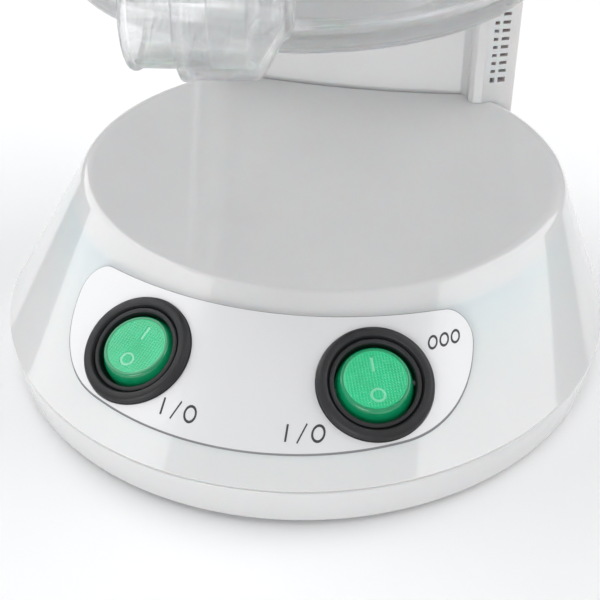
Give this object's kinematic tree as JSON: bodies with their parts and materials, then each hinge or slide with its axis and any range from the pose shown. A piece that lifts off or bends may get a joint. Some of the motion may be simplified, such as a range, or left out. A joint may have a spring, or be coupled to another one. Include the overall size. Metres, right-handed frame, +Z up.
{
  "type": "facial_steamer",
  "caption": "Tabletop facial steamer: round white base with two green round rocker switches, flat back column, hanging glass jar and clear swivel spout",
  "frame": {"origin": "centre of the round base where its feet stand on the table", "axes": "+Z up, front (switches and spout) towards -Y"},
  "size_m": [0.182, 0.182, 0.258],
  "materials": {
    "white_gloss": "gloss white moulded ABS",
    "panel_silver": "satin silver-white film",
    "black_trim": "fine-grained black nylon",
    "rubber_black": "matte rubber",
    "wire_black": "PVC sleeve",
    "green_lens": "translucent green polycarbonate, grid textured",
    "steel": "plain steel",
    "heater_sheath": "satin nickel-plated sheath",
    "brass": "plain",
    "lamp_glass": "clear glass",
    "jar_glass": "clear glass",
    "spout_clear": "clear polycarbonate",
    "silicone": "translucent silicone",
    "board_green": "solder mask",
    "potting_dark": "potted winding",
    "relay_blue": "moulded case",
    "ceramic": "white ceramic and heat-proof plastic"
  },
  "bodies": {
    "console": {"base_shell": "white_gloss", "base_plate": "white_gloss", "rubber_feet": "rubber_black", "base_screws": "steel", "control_panel": "panel_silver", "left_trim_ring": "black_trim", "right_trim_ring": "black_trim", "left_switch_housing": "black_trim", "right_switch_housing": "black_trim", "left_pivot_pin": "steel", "right_pivot_pin": "steel", "left_lamp": "lamp_glass", "right_lamp": "lamp_glass", "left_terminals": "brass", "right_terminals": "brass", "circuit_board": "board_green", "ozone_transformer": "potting_dark", "heater_relay": "relay_blue", "fuse": "lamp_glass", "column_front": "white_gloss", "column_back": "white_gloss", "column_screws": "steel", "wire_harness": "wire_black", "power_inlet": "black_trim", "inlet_pins": "steel", "head_lower": "white_gloss", "head_top": "white_gloss", "head_screws": "steel", "jar_collar": "white_gloss", "jar_gasket": "silicone", "heater_plate": "steel", "heater_coil": "heater_sheath", "level_probes": "steel", "thermostat": "ceramic", "steam_duct": "ceramic", "ozone_lamp": "lamp_glass", "lamp_holder": "ceramic", "spout_seal": "silicone"},
    "left_rocker_body": {"left_rocker": "green_lens"},
    "right_rocker_body": {"right_rocker": "green_lens"},
    "spout": {"spout_body": "spout_clear", "spout_mouth": "spout_clear"},
    "jar": {"glass_jar": "jar_glass"}
  },
  "joints": [
    {"name": "left_rocker_hinge", "type": "hinge", "parent": "console", "child": "left_rocker_body", "pos_m": [-0.0318, -0.0593, 0.02456], "axis": [0.9324, -0.3612, -0.0119], "range_deg": [0, 16]},
    {"name": "right_rocker_hinge", "type": "hinge", "parent": "console", "child": "right_rocker_body", "pos_m": [0.0318, -0.0593, 0.02456], "axis": [0.9324, 0.3612, 0.0119], "range_deg": [0, 16]},
    {"name": "spout_swivel", "type": "hinge", "parent": "console", "child": "spout", "pos_m": [0, -0.074, 0.1308], "axis": [0, 0, 1], "range_deg": [-5, 169]},
    {"name": "jar_bayonet", "type": "hinge", "parent": "console", "child": "jar", "pos_m": [0, 0.0065, 0.1117], "axis": [0, 0, 1], "range_deg": [0, 46.5]}
  ]
}
